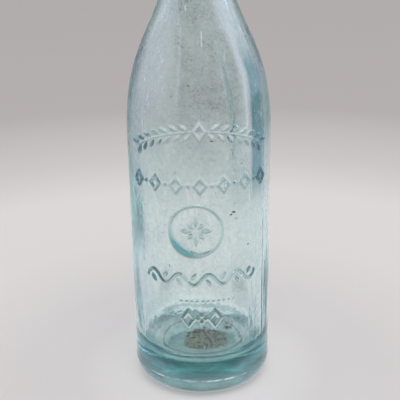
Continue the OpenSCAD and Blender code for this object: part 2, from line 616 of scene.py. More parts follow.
def inner_wave(angle, z):
    """The inside was never touched by the mould, so it wanders more than the outside."""
    slow = 0.18 * np.sin(2 * angle + z / 37 + 0.4) + 0.14 * np.sin(3 * angle - z / 17 + 1.1)
    quick = 0.06 * np.sin(5 * angle + z / 7.5 + 2.0) + 0.05 * np.sin(4 * angle - z / 5.1)
    streaks = 0.035 * np.sin(11 * angle + z / 29) + 0.025 * np.sin(17 * angle - z / 41 + 0.8)
    left = 0.5 * lump(angle, math.radians(-95), 0.8) * np.clip((125 - z) / 30, 0, 1)
    return slow + quick + streaks - left - 1.3 * heavy_side(angle, z)


# Over this height below the neck the inside's wandering dies out.
WANDER_FADE = 40


def inner_radius(angle, z):
    """Radius of the inside of the wall at an angle and a height below the neck."""
    wander = inner_wave(angle, z) * np.clip((NECK_Z - z) / WANDER_FADE, 0, 1)
    return np.interp(z, INSIDE[:, 1], INSIDE[:, 0]) + wander


def outer_profile():
    """Outside of the glass from the middle of the hollow base up to the heel, as (radius, height)."""
    dome_r = (PUNT_R**2 + PUNT_H**2) / (2 * PUNT_H)
    dome_edge = math.degrees(math.asin(PUNT_R / dome_r))
    dome = arc((0, PUNT_H - dome_r), dome_r, 88, 92 - dome_edge, 12)
    foot = eased([dome[-1], (PUNT_R, 0, 2.5), (STAND_R - 0.5, 0)])
    return dome + foot[1:] + arc((STAND_R, HEEL_R), HEEL_R, -90, -4, 14)


def finish_profile():
    """Collar, groove, locking ring and lip, each corner eased as fire-polished glass is."""
    top = BOTTLE_H
    groove_top = top - RING_H
    groove_bottom = groove_top - GROOVE_W
    collar_top = groove_bottom - COLLAR_SLOPE
    collar_bottom = collar_top - COLLAR_H
    neck_top = collar_bottom - COLLAR_SLOPE
    return eased([
        (NECK_R, neck_top - 6, 0), (NECK_R, neck_top, 1.5), (COLLAR_R, collar_bottom, 1.6),
        (COLLAR_R, collar_top, 1.6), (GROOVE_R, groove_bottom, 0.9), (GROOVE_R, groove_top, 0.5),
        (RING_R, groove_top + RING_R - GROOVE_R, 0.7), (RING_R, top, 2.55), (BORE_R, top, 1.35),
        (BORE_R, top - 8, 0)], steps=6)


def evenly(low, high, step):
    """Heights from low to high, both kept, about a step apart."""
    return np.linspace(low, high, max(2, round((high - low) / step) + 1))


def outer_ring(z, angles, ornament=None):
    """One ring round the outside of the body or the shoulder, with what stands out there."""
    x = ((angles + math.pi) % TURN - math.pi) * BODY_R
    height = np.full_like(angles, z)
    rise = mould_lines(angles, x, height)
    if ornament:
        rise = np.maximum(rise, ornament(x, height))
    rise *= span(z, HEEL_R + 1, HEEL_R + 9, NECK_Z - 24, NECK_Z - 4)
    radius = np.interp(z, SHOULDER[:, 1], SHOULDER[:, 0]) + outer_wave(angles, z)
    return angles, radius + rise, height


# The two fine rings over the heel, where the mould's base met its sides: (height, half width, rise).
HEEL_RINGS = ((HEEL_R + 0.9, 0.4, 0.30), (HEEL_R - 0.1, 0.3, 0.15))
HEEL_TOP = HEEL_R + 1.8
HEEL_STEP = 0.11


def outer_rings(plain):
    """The outside, from the middle of the base up the body and over the lip into the bore."""
    rings = [(plain, r, z) for r, z in outer_profile()]
    for z in evenly(HEEL_R - 0.4, HEEL_TOP, HEEL_STEP):
        angles, radius, height = outer_ring(max(z, HEEL_R), plain)
        rise = sum(stroke(z - middle, half, high) for middle, half, high in HEEL_RINGS)
        rings.append((angles, radius + rise, np.full_like(radius, z)))
    reached = HEEL_TOP
    for ornament, low, high, left, right in ORNAMENTS:
        fine = fine_angles(plain, left, right)
        rings += [outer_ring(z, plain) for z in evenly(reached + 1.0, low - 0.6, PLAIN_STEP)]
        rings += [outer_ring(z, fine, ornament) for z in evenly(low, high, FINE_STEP)]
        reached = high
    rings += [outer_ring(z, plain) for z in evenly(reached + 0.6, NECK_Z - 1, PLAIN_STEP)]
    return rings + [(plain, r, z) for r, z in finish_profile()]


# The crease round the floor, where it meets the fillet: (outward from there, rise).
CREASE = ((0.75, 0.02), (0.35, 0.10), (0.0, 0.24), (-0.35, 0.26), (-0.75, 0.10), (-1.1, 0.0))
INNER_STEP = 2.0
FLOOR_SHARES = (0.8, 0.55, 0.3, 0.1)


def inner_rings(plain):
    """The inside, from the neck down the wall and across the floor."""
    def ring(r, z, share=1.0):
        return plain, r + share * inner_wave(plain, z), z

    rings = [ring(r, z, np.clip((NECK_Z - z) / WANDER_FADE, 0, 1)) for r, z in INSIDE[::-1]]
    fillet_top = FLOOR_Z + FLOOR_FILLET
    rings += [ring(INNER_R, z) for z in np.arange(SHOULDER_Z - INNER_STEP, fillet_top + 1, -INNER_STEP)]
    for r, z in arc((CREASE_R, fillet_top), FLOOR_FILLET, 0, -80, 12):
        rings.append(ring(r, z, 0.9 * (z - FLOOR_Z) / FLOOR_FILLET))
    rings += [(plain, CREASE_R + out, FLOOR_Z + rise) for out, rise in CREASE]
    return rings + [(plain, share * CREASE_R, FLOOR_Z) for share in FLOOR_SHARES]


def build_glass():
    """One closed skin: up the outside, over the lip, down the inside and across the floor.

    Also says how many points are on the outside: the first ones, without the middle of the base.
    """
    plain = plain_angles()
    outer = outer_rings(plain)
    points, faces = revolve(outer + inner_rings(plain), poles=(PUNT_H, FLOOR_Z))
    return points, faces, sum(len(ring[0]) for ring in outer)


# The seeds that show most: angle round the bottle, height, radius, and height as a share of width.
CLEAR_SEEDS = ((0.03, 23.5, 0.6, 1.0), (0.2, 127.2, 0.25, 2.0), (-0.12, 133.6, 0.2, 2.0))
MORE_SEEDS = 26
SEED_ROWS = 5
SEED_SIDES = 10


def seeds():
    """Small bubbles in the glass: each is a closed skin facing into itself."""
    rng = np.random.default_rng(41)
    places = list(CLEAR_SEEDS)
    for _ in range(MORE_SEEDS):
        angle, z = rng.uniform(0, TURN), rng.uniform(20, 130)
        places.append((angle, z, rng.uniform(0.12, 0.3), rng.uniform(1.2, 3.0)))
    points, faces = [], []
    for angle, z, size, tall in places:
        start = len(points)
        radius = (np.interp(z, SHOULDER[:, 1], SHOULDER[:, 0]) + inner_radius(angle, z)) / 2
        centre = np.array([radius * math.sin(angle), -radius * math.cos(angle), z])
        for i in range(1, SEED_ROWS):
            up = math.pi * i / SEED_ROWS
            for j in range(SEED_SIDES):
                a = TURN * j / SEED_SIDES
                out = [math.sin(up) * math.cos(a), math.sin(up) * math.sin(a), tall * math.cos(up)]
                points.append(centre + size * np.array(out))
        points += [centre + [0, 0, size * tall], centre - [0, 0, size * tall]]
        top, bottom = len(points) - 2, len(points) - 1
        last = start + (SEED_ROWS - 2) * SEED_SIDES
        sides = [(j, (j + 1) % SEED_SIDES) for j in range(SEED_SIDES)]
        for row in range(start, last, SEED_SIDES):
            faces += [(row + j, row + k, row + SEED_SIDES + k, row + SEED_SIDES + j) for j, k in sides]
        for j, k in sides:
            faces += [(top, start + k, start + j), (bottom, last + j, last + k)]
    return np.array(points), faces


# ---------------------------------------------------------------- the glass's look

# Values kept for each point of the glass, which its material reads.
INNER_SKIN = "inner_skin"
HEAVY_GLASS_AND_PAINTED_SHADE = "heavy_glass"
RAISED = "raised"
PAINTED_BAND_HIGHLIGHT = "band_edge"

# Where the marks on the base and the floor lie, in millimetres from the bottle's axis. The last is painted
# shade in the crease round the floor.
HOLLOW_DULL = (16.5, 18.0)
HEEL_WEAR = (20.0, 22.0)
CREASE_PAINTED_SHADE = (16.3, 16.8, 17.2, 17.8)


class GlassMarks:
    """Where a point of the glass lies, in millimetres, and what is there, in shares from 0 to 1."""

    def __init__(self, n):
        def kept(name):
            return n.add("ShaderNodeAttribute", {"attribute_name": name}, out="Fac")

        self.across = n.along("X")
        self.depth = n.along("Y")
        self.height = n.along("Z")
        self.away = n.away()
        self.across_squared = self.across * self.across

        self.inside = kept(INNER_SKIN)
        self.outside = 1 - self.inside
        # Thick glass, with the shoulder's dark band darkened further as painted shade.
        self.heavy = kept(HEAVY_GLASS_AND_PAINTED_SHADE)
        self.raised = kept(RAISED)
        # Painted highlights along the edge of the shoulder's dark band.
        self.painted_edge_highlight = kept(PAINTED_BAND_HIGHLIGHT)

        self.centre = n.ebb(self.across_squared, 240, 520)
        self.sides = n.smooth(self.across_squared, 150, 330)
        self.back = n.smooth(self.depth, -6, 4)
        self.heel = self.outside * n.smooth(self.away, *HEEL_WEAR)

        # The strip down the front of the shoulder that is dull with handling, and where the relief is
        # painted white as a highlight.
        reach = self.across + n.smooth(self.height, 134, 158) * 9
        self.strip = n.smooth(self.across, -9.5, -6.5) * n.ebb(reach, 12.5, 16.5)
        self.dull = self.strip * n.smooth(self.height, 92, 112)

        self.cloud = n.noise(17.0, 5.0, 0.6, warp=0.5)
        self.streaks = n.noise(2.6, 4.0, 0.6, where=n.stretched(1, 1, 0.3))
        stipple = n.noise(0.8, 3.0, 0.7)
        self.mist = n.smooth(self.cloud * 0.36 + self.streaks * 0.2 + stipple * 0.44, 0.42, 0.6)


def glass_bump(n, at):
    """Ripples, orange peel and drawn cords in the skin, and grit dried onto the inside."""
    ripple = n.noise(8.0, 2.0, where=n.stretched(1, 1, 0.4))
    peel = n.noise(1.8, 2.0, 0.5) * n.smooth(at.height, 18, 40, 0.12, 0.4)
    cords = n.noise(2.2, 2.0, 0.5, where=n.stretched(1, 1, 0.07)) * n.smooth(at.height, 20, 90, 0.05, 0.25)
    grit = n.noise(0.9, 3.0, 0.7) * at.inside * n.smooth(at.height, 42, 60) * 0.09
    return n.bump(ripple + peel + grit + cords, 0.30, 0.40)


def glass_roughness(n, at):
    """Polished glass, duller in its scuffs, on the ring it stands on and in the hollow base."""
    scuffs = n.smooth(n.noise(3.5, 6.0, 0.7), 0.56, 0.74)
    foot = n.ebb(at.height, 0.0, 0.8)
    dome = n.ebb(at.away, *HOLLOW_DULL) * n.ebb(at.height, PUNT_H + 0.6, PUNT_H + 1.0)
    return n.ramp(scuffs * 0.4 + foot * 0.3 + dome * 0.6, 0.0, 1.6, 0.01, 0.4)


def glass_tint(n, at):
    """What colour the skin lets through: clear, but teal or grey where the glass is thick or uneven, with
    painted grey shade on the base's foot and heel, and the shoulder's dark band partly painted shade.
    """
    grazing = n.add("ShaderNodeLayerWeight", inputs={"Blend": 0.5}, out="Facing")
    edge = at.outside * n.smooth(grazing, 0.42, 0.76) * n.smooth(at.height, 95, 115)
    swirl = n.noise(9.0, 3.0, 0.5, where=n.stretched(1, 1, 2.5), warp=0.8)
    thick = at.outside * n.band(at.height, FLOOR_Z - 2.7, FLOOR_Z + 0.1, FLOOR_Z + 1.7, FLOOR_Z + 3.3)
    thick = thick * n.smooth(swirl, 0.38, 0.62, 0.6, 1.2) * (at.centre * 0.85 + 0.15)
    # Painted shade: grey on the front of the foot and on the heel's sides.
    sole_painted_shade = at.heel * n.ebb(at.height, 4.5, 6.0) * (1 - at.sides)
    heel_sides_painted_shade = at.heel * n.ebb(at.height, 11.0, 13.5) * at.sides
    rim = at.outside * at.sides * n.band(at.height, 17, 19.5, 24, 27)
    mottle = n.smooth(n.noise(1.7, 4.0, 0.7) * 0.78 + at.streaks * 0.22, 0.42, 0.62)
    return n.layered(
        colour(252, 255, 255), (at.heavy, colour(58, 138, 150)), (edge, colour(90, 160, 168)),
        (thick, colour(134, 158, 154)), (sole_painted_shade, colour(150, 150, 144)), (heel_sides_painted_shade, colour(150, 150, 144)),
        (rim * 0.8, colour(196, 214, 216)),
        (mottle * at.outside * (1 - at.raised) * 0.26, colour(150, 170, 190)),
        (at.raised * 0.35, colour(70, 160, 160)))


# The layers below lie over the glass: films that dull it, and painted light and shade. Each is how much it
# hides, where it lies, and its colour.

def inner_films_and_painted_crease_shade(n, at):
    """What dried onto the inside: mist, dirt in the dull strip, and scum on the floor and its edge, with
    painted shade in the crease round the floor.
    """
    patches = n.noise(7.0, 3.0, 0.6) * 0.35 + n.noise(0.9, 4.0, 0.75) * 0.65
    dirt = n.smooth(patches, 0.52, 0.62) * at.dull
    scum = at.inside * n.ebb(at.height, FLOOR_Z + 0.3, FLOOR_Z + 1.1)
    # Painted shade: a dark teal ring in the crease round the floor.
    crease_painted_shade = scum * n.band(at.away, *CREASE_PAINTED_SHADE)
    cove = at.inside * n.band(at.height, FLOOR_Z + 0.2, FLOOR_Z + 0.9, FLOOR_Z + 3.5, FLOOR_Z + 7.5)
    near_cove = cove * (1 - at.back)
    return [
        (at.inside * (at.mist * 0.10 + at.dull * 0.03), at.inside * at.dull, colour(150, 146, 138)),
        (at.inside * dirt * 0.30, dirt, colour(92, 84, 78)),
        (scum * (at.cloud * 0.5 + 0.02), scum, colour(170, 180, 166)),
        (crease_painted_shade * 0.4, crease_painted_shade, colour(86, 112, 110)),
        (near_cove * 0.36, near_cove, colour(176, 220, 220))]


def wear_and_painted_highlights(n, at):
    """Wear and painted highlights on the outside: bloom on the body, lavender at its sides as painted window
    light, the worn base, the ring over the heel and the relief, both worn and painted white as highlights,
    and painted highlights along the dark band's edge.
    """
    front_face = n.ebb(at.across_squared, 560, 720)
    bloom = at.outside * n.smooth(at.height, 26, 44) * (1 - at.dull) * front_face * (1 - at.raised * 0.7)
    # Lavender at the sides is painted window light on the bloom.
    bloom_tone_and_painted_window_light = n.mix(at.centre, colour(186, 196, 226), colour(240, 240, 232))
    worn_heel = n.smooth(at.height, 2.5, 5.5, 0.3, 1.0) * (1 - at.sides * 0.5)
    wear = at.outside * n.ebb(at.height, 5.0, 12.5) * (worn_heel * at.heel + (1 - at.heel))
    # The ring over the heel: case wear, painted white as a highlight.
    case_wear_and_painted_highlight = at.outside * n.band(at.height, HEEL_R + 0.4, HEEL_R + 0.7, HEEL_R + 1.0, HEEL_R + 1.4)
    case_wear_and_painted_highlight = case_wear_and_painted_highlight * n.smooth(n.noise(7.0, 3.0, 0.6), 0.40, 0.60, 0.0, 0.7) * (at.centre * 0.8 + 0.2)
    # The relief down the front strip: worn, and painted white as a highlight.
    relief_wear_and_painted_highlight = at.raised * at.strip * n.smooth(at.height, 96, 102)
    return [
        (bloom * at.mist * (0.26 - at.centre * 0.12), bloom, bloom_tone_and_painted_window_light),
        (wear * (at.cloud * 0.5 + 0.22), wear, colour(186, 222, 222)),
        (case_wear_and_painted_highlight, case_wear_and_painted_highlight, colour(240, 250, 248)),
        (relief_wear_and_painted_highlight * 0.5, relief_wear_and_painted_highlight, colour(244, 246, 248)),
        # Painted highlights along the band's edge.
        (at.painted_edge_highlight * 0.42, at.painted_edge_highlight, colour(226, 240, 250))]


def haze_and_painted_light(n, at):
    """A painted reflection of a window at the left of the shoulder, pale teal round the base's flanks, pale
    haze low on the body's flanks, and painted shade on the relief's sides.
    """
    # A painted reflection of the side window, lavender-white, on the left of the shoulder.
    painted_left_reflection = at.outside * n.smooth(at.height, 112, 124) * n.ebb(at.depth, -4, 0)
    painted_left_reflection = painted_left_reflection * n.band(at.across / at.away, -0.92, -0.80, -0.56, -0.42)
    painted_left_reflection = painted_left_reflection * n.smooth(at.cloud * 0.6 + at.streaks * 0.4, 0.40, 0.56, 0.3, 1.0)
    flanks = at.outside * at.sides
    flank = flanks * n.band(at.height, FLOOR_Z - 3.0, FLOOR_Z - 0.5, FLOOR_Z + 0.5, FLOOR_Z + 3.5)
    low_bloom = flanks * n.ebb(at.across_squared, 420, 600) * n.band(at.height, 24, 28, 29, 40)
    # Painted shade: dark teal on the relief towards the sides.
    shade = at.raised * at.outside * n.smooth(at.across_squared, 200, 420)
    return [
        (painted_left_reflection * 0.22, painted_left_reflection, colour(208, 216, 232)),
        (flank * 0.28, flank, colour(150, 214, 222)),
        (low_bloom * (at.mist * 0.4 + 0.16), low_bloom, colour(220, 234, 240)),
        (shade * 0.5, shade, colour(62, 128, 132))]


# Drawn-out bubbles at the skin of the shoulder, painted as pale glints: sideways place, lowest and highest
# point, and strength.
LONG_SEEDS = ((1.4, 141.6, 147.4, 0.5), (0.1, 142.6, 144.6, 0.25),
              (9.55, 136.2, 141.0, 0.25), (-4.15, 153.4, 156.0, 0.5))
LONG_SEED_TIP = 0.6


def long_seed_painted_glints(n, at):
    """Painted glints of bubbles drawn out into fine pale upright lines, the listed ones and scattered
    shorter ones.
    """
    drawn = 0.0
    for place, low, high, strength in LONG_SEEDS:
        off = n.add("ShaderNodeMath", {"operation": "ABSOLUTE"}, [at.across - place])
        tall = n.band(at.height, low, low + LONG_SEED_TIP, high - LONG_SEED_TIP, high)
        drawn = drawn + n.smooth(off, 0.16, 0.42, strength, 0.0) * tall
    scattered = n.smooth(n.noise(0.8, 1.0, 0.5, where=n.stretched(1, 1, 0.12)), 0.69, 0.72) * 0.2
    lines = at.outside * (drawn * (1 - at.back) + scattered * n.smooth(at.height, 50, 70))
    return lines, n.smooth(lines, 0.0, 0.2), colour(240, 246, 250)


# The colour that light takes in the depth of the glass, how strongly, and the thinnest film's colour.
TEAL = (0.04, 0.87, 0.89, 1)
TEAL_DENSITY = 24.0
BARE_FILM = colour(232, 234, 255)


def aqua_glass():
    """Aqua glass: clear through a thin wall, teal through a thick one, with wear and scum over it, and
    painted light and shade.
    """
    made, n = material("aqua_glass")
    at = GlassMarks(n)
    glass = n.add("ShaderNodeBsdfPrincipled", inputs={
        "Base Color": glass_tint(n, at), "Roughness": glass_roughness(n, at), "IOR": 1.52,
        "Transmission Weight": 1.0, "Normal": glass_bump(n, at)})

    # All the layers: wear, dirt and scum, and painted light and shade.
    overlays = inner_films_and_painted_crease_shade(n, at) + wear_and_painted_highlights(n, at) + haze_and_painted_light(n, at) + [long_seed_painted_glints(n, at)]
    hidden = sum(hides for hides, _, _ in overlays)
    tone = n.layered(BARE_FILM, *[(lies, film_tone) for _, lies, film_tone in overlays])
    matte_overlay = n.add("ShaderNodeBsdfPrincipled", inputs={"Base Color": tone, "Roughness": 0.9})
    skin = n.add("ShaderNodeMixShader", inputs=[hidden, glass, matte_overlay])

    teal = n.add("ShaderNodeVolumeAbsorption", inputs={"Color": TEAL, "Density": TEAL_DENSITY})
    n.add("ShaderNodeOutputMaterial", inputs={"Surface": skin, "Volume": teal})
    return made


def paint(piece, name, values):
    """Keeps one value for each point of a piece, for its material to read."""
    layer = piece.data.attributes.new(name, "FLOAT", "POINT")
    layer.data.foreach_set("value", np.asarray(values, dtype=np.float32))


glass_points, glass_faces, outer_count = build_glass()
seed_points, seed_faces = seeds()
first_seed = len(glass_points)
glass_faces += [tuple(first_seed + i for i in face) for face in seed_faces]
skin_points = np.vstack([glass_points, seed_points])
bottle = make_piece("bottle_glass", skin_points, glass_faces, aqua_glass(), "bottle")
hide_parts("glass_bottle")

# The last point before the seeds is the middle of the floor, which the film covers.
point_number = np.arange(len(skin_points))
outer_skin = point_number < outer_count
skin_x, skin_y, skin_z = skin_points.T
skin_turn = np.arctan2(skin_x, -skin_y)
raised = ornament_rise(skin_turn * BODY_R, skin_z) * outer_skin
heaped = np.clip((raised - RELIEF) / 0.4, 0, 1)
# Thick glass on the relief and in the shoulder's bands; the bands are darkened further as painted shade.
heavy = heavy_tint_and_painted_shade(skin_turn, skin_z) * outer_skin + 0.35 * raised + 0.8 * heaped
paint(bottle, INNER_SKIN, (point_number >= outer_count) & (point_number < first_seed - 1))
paint(bottle, RAISED, np.clip(raised / RELIEF, 0, 1))
# Painted highlights along the dark band's edge.
paint(bottle, PAINTED_BAND_HIGHLIGHT, band_edge(skin_turn, skin_z) * outer_skin)
paint(bottle, HEAVY_GLASS_AND_PAINTED_SHADE, np.clip(heavy, 0, 1))


# ---------------------------------------------------------------- dried residue

FILM_X = (film_low.x + film_high.x) / 2 / MM
FILM_Y = (film_low.y + film_high.y) / 2 / MM
FILM_R = (film_high.x - film_low.x) / 2 / MM
FILM_LIFT = 0.03


def film_edge(angle):
    """How far the film's ragged edge lies from its middle, as a share of its full radius."""
    slow = 0.06 * math.sin(3 * angle + 0.5) + 0.05 * math.sin(5 * angle + 1.9)
    return 0.90 + slow + 0.025 * math.sin(11 * angle) + 0.02 * math.sin(23 * angle + 0.7)


# The film's height at shares of its radius, and at its very edge.
FILM_MIDDLE = 0.05
FILM_HEIGHTS = ((0.1, 0.05), (0.25, 0.06), (0.4, 0.05), (0.55, 0.06), (0.7, 0.07), (0.8, 0.10),
                (0.87, 0.15), (0.92, 0.19), (0.96, 0.14), (0.99, 0.03))
FILM_EDGE = (1.0, 0.015)
FILM_SIDES = 120


def build_film():
    """A thin dried pool, highest in a rim near its edge, with a flat underside."""
    under = FLOOR_Z + FILM_LIFT
    points = [(FILM_X, FILM_Y, under), (FILM_X, FILM_Y, under + FILM_MIDDLE)]
    rows = [(share, 0.0) for share, _ in FILM_HEIGHTS] + [FILM_EDGE] + list(reversed(FILM_HEIGHTS))
    for share, height in rows:
        for k in range(FILM_SIDES):
            angle = TURN * k / FILM_SIDES
            reach = FILM_R * share * (1 + share**2 * (film_edge(angle) - 1))
            wave = 0.02 * math.sin(7 * angle + 9 * share) * (height > FILM_EDGE[1])
            points.append((FILM_X + reach * math.cos(angle), FILM_Y + reach * math.sin(angle),
                           under + height + wave))
    faces = []
    last = 2 + (len(rows) - 1) * FILM_SIDES
    for j in range(FILM_SIDES):
        k = (j + 1) % FILM_SIDES
        faces.append((0, 2 + k, 2 + j))
        faces.append((1, last + j, last + k))
        for row in range(2, last, FILM_SIDES):
            faces.append((row + j, row + k, row + FILM_SIDES + k, row + FILM_SIDES + j))
    return points, faces


CRUMB_CORNERS = [(0, 1, GOLDEN), (0, -1, GOLDEN), (0, 1, -GOLDEN), (0, -1, -GOLDEN),
                 (1, GOLDEN, 0), (-1, GOLDEN, 0), (1, -GOLDEN, 0), (-1, -GOLDEN, 0),
                 (GOLDEN, 0, 1), (GOLDEN, 0, -1), (-GOLDEN, 0, 1), (-GOLDEN, 0, -1)]
CRUMB_FACES = [(0, 1, 8), (0, 8, 4), (0, 4, 5), (0, 5, 10), (0, 10, 1), (1, 10, 7), (1, 7, 6), (1, 6, 8),
               (8, 6, 9), (8, 9, 4), (4, 9, 2), (4, 2, 5), (5, 2, 11), (5, 11, 10), (10, 11, 7),
               (7, 11, 3), (7, 3, 6), (6, 3, 9), (9, 3, 2), (2, 3, 11)]


def crumb(rng, centre, width, axes):
    """One ragged twenty-sided crumb. Its axes say how it lies, and the last is its flat way."""
    size = width / 2 / math.hypot(1, GOLDEN)
    corners = np.array(CRUMB_CORNERS) * rng.uniform(0.65, 1.2, (12, 1))
    stretch = np.array([rng.uniform(0.7, 1.3), rng.uniform(0.7, 1.1), rng.uniform(0.3, 0.6)]) * size
    return np.array(centre) + (corners * stretch) @ np.array(axes)


def build_crumbs():
    """The crumbs, spread evenly over their patch of the film, with a few strays further out."""
    rng = np.random.default_rng(7)
    points, faces = [], []
    for k in range(CRUMBS):
        reach = PATCH_R * math.sqrt(rng.uniform(0, 1)) * (1.3 if k % 19 == 0 else 1.0)
        angle = rng.uniform(0, TURN)
        width = CRUMB_WIDTH * rng.uniform(0.35, 1.0)
        turn = rng.uniform(0, TURN)
        axes = [(math.cos(turn), math.sin(turn), 0), (-math.sin(turn), math.cos(turn), 0), (0, 0, 1)]
        spot = (FILM_X + reach * math.cos(angle), FILM_Y + 1.15 * reach * math.sin(angle),
                FLOOR_Z + 0.14 + 0.2 * width)
        faces += [tuple(len(points) + i for i in face) for face in CRUMB_FACES]
        points += list(crumb(rng, spot, width, axes))
    return points, faces


# Specks stuck to the inside of the wall: degrees round from the front, height and width.
WALL_SPECKS = (
    (28.3, 79.4, 1.7), (27.0, 78.6, 0.9), (32.0, 76.6, 0.7), (45.7, 64.3, 0.9), (64.7, 60.5, 0.9),
    (10.2, 108.3, 1.0), (-20.0, 96.0, 0.5), (38.0, 98.0, 0.5), (-34.0, 71.0, 0.45), (12.0, 57.0, 0.4),
    (-9.0, 128.0, 0.7), (4.0, 133.0, 0.5), (-24.0, 124.0, 0.6), (20.0, 118.0, 0.5), (150.0, 70.0, 0.9),
    (-140.0, 95.0, 0.7), (205.0, 45.0, 0.6), (118.0, 110.0, 0.6))
FLOOR_SPECKS = ((11.5, 9.0, 2.8), (12.6, 8.2, 1.8), (-9.5, -12.0, 0.8), (4.0, -13.5, 0.7), (-13.0, 3.0, 0.6))


def build_specks():
    """Bits of the same dirt on the inside of the wall and at the edge of the floor."""
    rng = np.random.default_rng(23)
    points, faces = [], []

    def lay(spot, width, axes):
        for _ in range(3):
            shift = rng.normal(0, 0.22, 3) * width @ np.array(axes) * [1, 1, 0.4]
            faces.extend(tuple(len(points) + i for i in face) for face in CRUMB_FACES)
            points.extend(crumb(rng, spot + shift, width * rng.uniform(0.55, 0.9), axes))

    for degrees, z, width in WALL_SPECKS:
        angle = math.radians(degrees)
        out = np.array([math.sin(angle), -math.cos(angle), 0.0])
        radius = inner_radius(angle, z) - 0.2 * width
        lay(radius * out + [0, 0, z], width, [(math.cos(angle), math.sin(angle), 0), (0, 0, 1), tuple(-out)])
    for x, y, width in FLOOR_SPECKS:
        lay(np.array([x, y, FLOOR_Z + 0.25 * width]), width, [(1, 0, 0), (0, 1, 0), (0, 0, 1)])
    return points, faces


def dried_film():
    """Tan-grey film, patchy and part clear, thinning out towards its rim."""
    made, n = material("dried_film")
    across = n.along("X") - FILM_X
    back = n.along("Y") - FILM_Y
    cloud = n.noise(2.6, 5.0, 0.65)
    fine = n.noise(0.7, 4.0, 0.7)
    tone = n.layered(colour(196, 166, 110), (n.smooth(cloud, 0.35, 0.7), colour(160, 126, 74)),
                     (n.smooth(fine, 0.55, 0.8), colour(118, 104, 80)))
    away_squared = across * across + back * back
    whole = n.ebb(away_squared + (cloud - 0.5) * 60, 62, 122)
    cover = n.smooth(cloud * 0.6 + fine * 0.4, 0.36, 0.66, 0.22, 0.50) * whole
    n.finish({"Base Color": tone, "Roughness": n.ramp(fine, 0.3, 0.7, 0.45, 0.75), "Alpha": cover,
              "Normal": n.bump(fine, 0.06, 0.6)})
    return made


def dried_crumbs():
    """Dark brown and grey-brown crumbs, dull and grainy."""
    made, n = material("dried_crumbs")
    each = n.noise(1.1, 1.0, 0.4)
    grain = n.noise(0.18, 3.0, 0.6)
    tone = n.layered(colour(20, 12, 6), (n.smooth(each, 0.38, 0.62), colour(70, 46, 24)),
                     (n.smooth(grain, 0.5, 0.75), colour(90, 66, 40)))
    n.finish({"Base Color": tone, "Roughness": n.ramp(grain, 0.3, 0.7, 0.6, 0.9),
              "Normal": n.bump(grain, 0.08, 0.7)})
    return made


film = make_piece("residue_film_dried", *build_film(), dried_film(), "bottle")
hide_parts("residue_film")
crumb_finish = dried_crumbs()
crumbs = make_piece("residue_crumbs", *build_crumbs(), crumb_finish, "bottle")
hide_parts("residue_grains")
specks = make_piece("wall_specks", *build_specks(), crumb_finish, "bottle")


# ---------------------------------------------------------------- the crown and its cork

FLUTE_STEPS = 16
CROWN_DOME = 0.22
TOP_SHARES = (0.12, 0.3, 0.5, 0.68, 0.84, 0.95)
CORNER_STEP = 9
SIDE_STEPS = 14
EDGE_ROUND = 0.03


def crown_side(inset):
    """One face of the crown, from the top's middle to the skirt's edge: (radius, height, flute share)."""
    corner_r, corner_z = SKIRT_OUT - CROWN_ROUND, CROWN_TOP - CROWN_ROUND
    side = [(corner_r * t, CROWN_TOP - inset - CROWN_DOME * t**4, 0.0) for t in TOP_SHARES]
    turn = CROWN_ROUND - inset
    for degrees in range(82, -1, -CORNER_STEP):
        a = math.radians(degrees)
        sunk = CROWN_DOME * a / 1.6
        side.append((corner_r + turn * math.cos(a), corner_z + turn * math.sin(a) - sunk, 0.0))
    low = SKIRT_EDGE + 0.10
    for k in range(SIDE_STEPS):
        t = (k + 1) / SIDE_STEPS
        side.append((SKIRT_OUT - inset, corner_z + t * (low - corner_z), t**1.3))
    return side


def build_crown():
    """A fluted cap of one thickness, its skirt's edge rounded over."""
    angles = np.arange(FLUTES * FLUTE_STEPS) * TURN / (FLUTES * FLUTE_STEPS)
    wave = (1 + np.cos(FLUTES * (angles - math.pi / 2))) / 2
    slight = 0.03 * np.sin(5 * angles + 1.0) + 0.03 * np.sin(9 * angles)

    def ring(radius, z, share):
        return angles, radius + FLUTE_DEPTH * share * np.maximum(wave - 0.03 + slight * 0.5, 0), z

    inner, outer = crown_side(PLATE), crown_side(0.0)
    edge = [(SKIRT_OUT - PLATE * in_share, SKIRT_EDGE + lift, 1.0)
            for in_share, lift in ((0.8, EDGE_ROUND), (0.5, 0.0), (0.2, EDGE_ROUND))]
    rings = [ring(*row) for row in inner + edge + outer[::-1]]
    return revolve(rings, poles=(CROWN_TOP - PLATE, CROWN_TOP))


def worn_tinplate():
    """Dull tinplate, lightly scratched, with brown rust in spots, most at the skirt's edge."""
    made, n = material("worn_tinplate")
    low = n.ebb(n.along("Z"), SKIRT_EDGE, SKIRT_EDGE + 3.4)
    cloud = n.noise(4.0, 6.0, 0.62)
    spots = n.noise(0.9, 5.0, 0.7)
    scratch = n.noise(0.35, 2.0, 0.5, where=n.stretched(1.0, 0.06, 1.0))
    rust = n.smooth(cloud * 0.5 + spots * 0.35 + low * 0.26, 0.53, 0.66)
    pale = n.layered(colour(186, 184, 178), (n.smooth(cloud, 0.3, 0.7), colour(156, 153, 146)),
                     (n.smooth(scratch, 0.58, 0.72, 0.0, 0.5), colour(214, 212, 206)))
    brown = n.mix(n.smooth(spots, 0.4, 0.65), colour(118, 72, 40), colour(74, 48, 32))
    dull = n.ramp(cloud * 0.6 + spots * 0.4, 0.3, 0.7, 0.28, 0.5)
    n.finish({"Base Color": n.mix(rust, pale, brown), "Metallic": n.ramp(rust, 0.0, 1.0, 1.0, 0.05),
              "Roughness": dull + rust * 0.4,
              "Normal": n.bump(spots * 0.5 + rust * 0.8 + scratch * 0.25, 0.05, 0.6)})
    return made


CORK_SIDES = 180
CORK_ROUND = 1.7


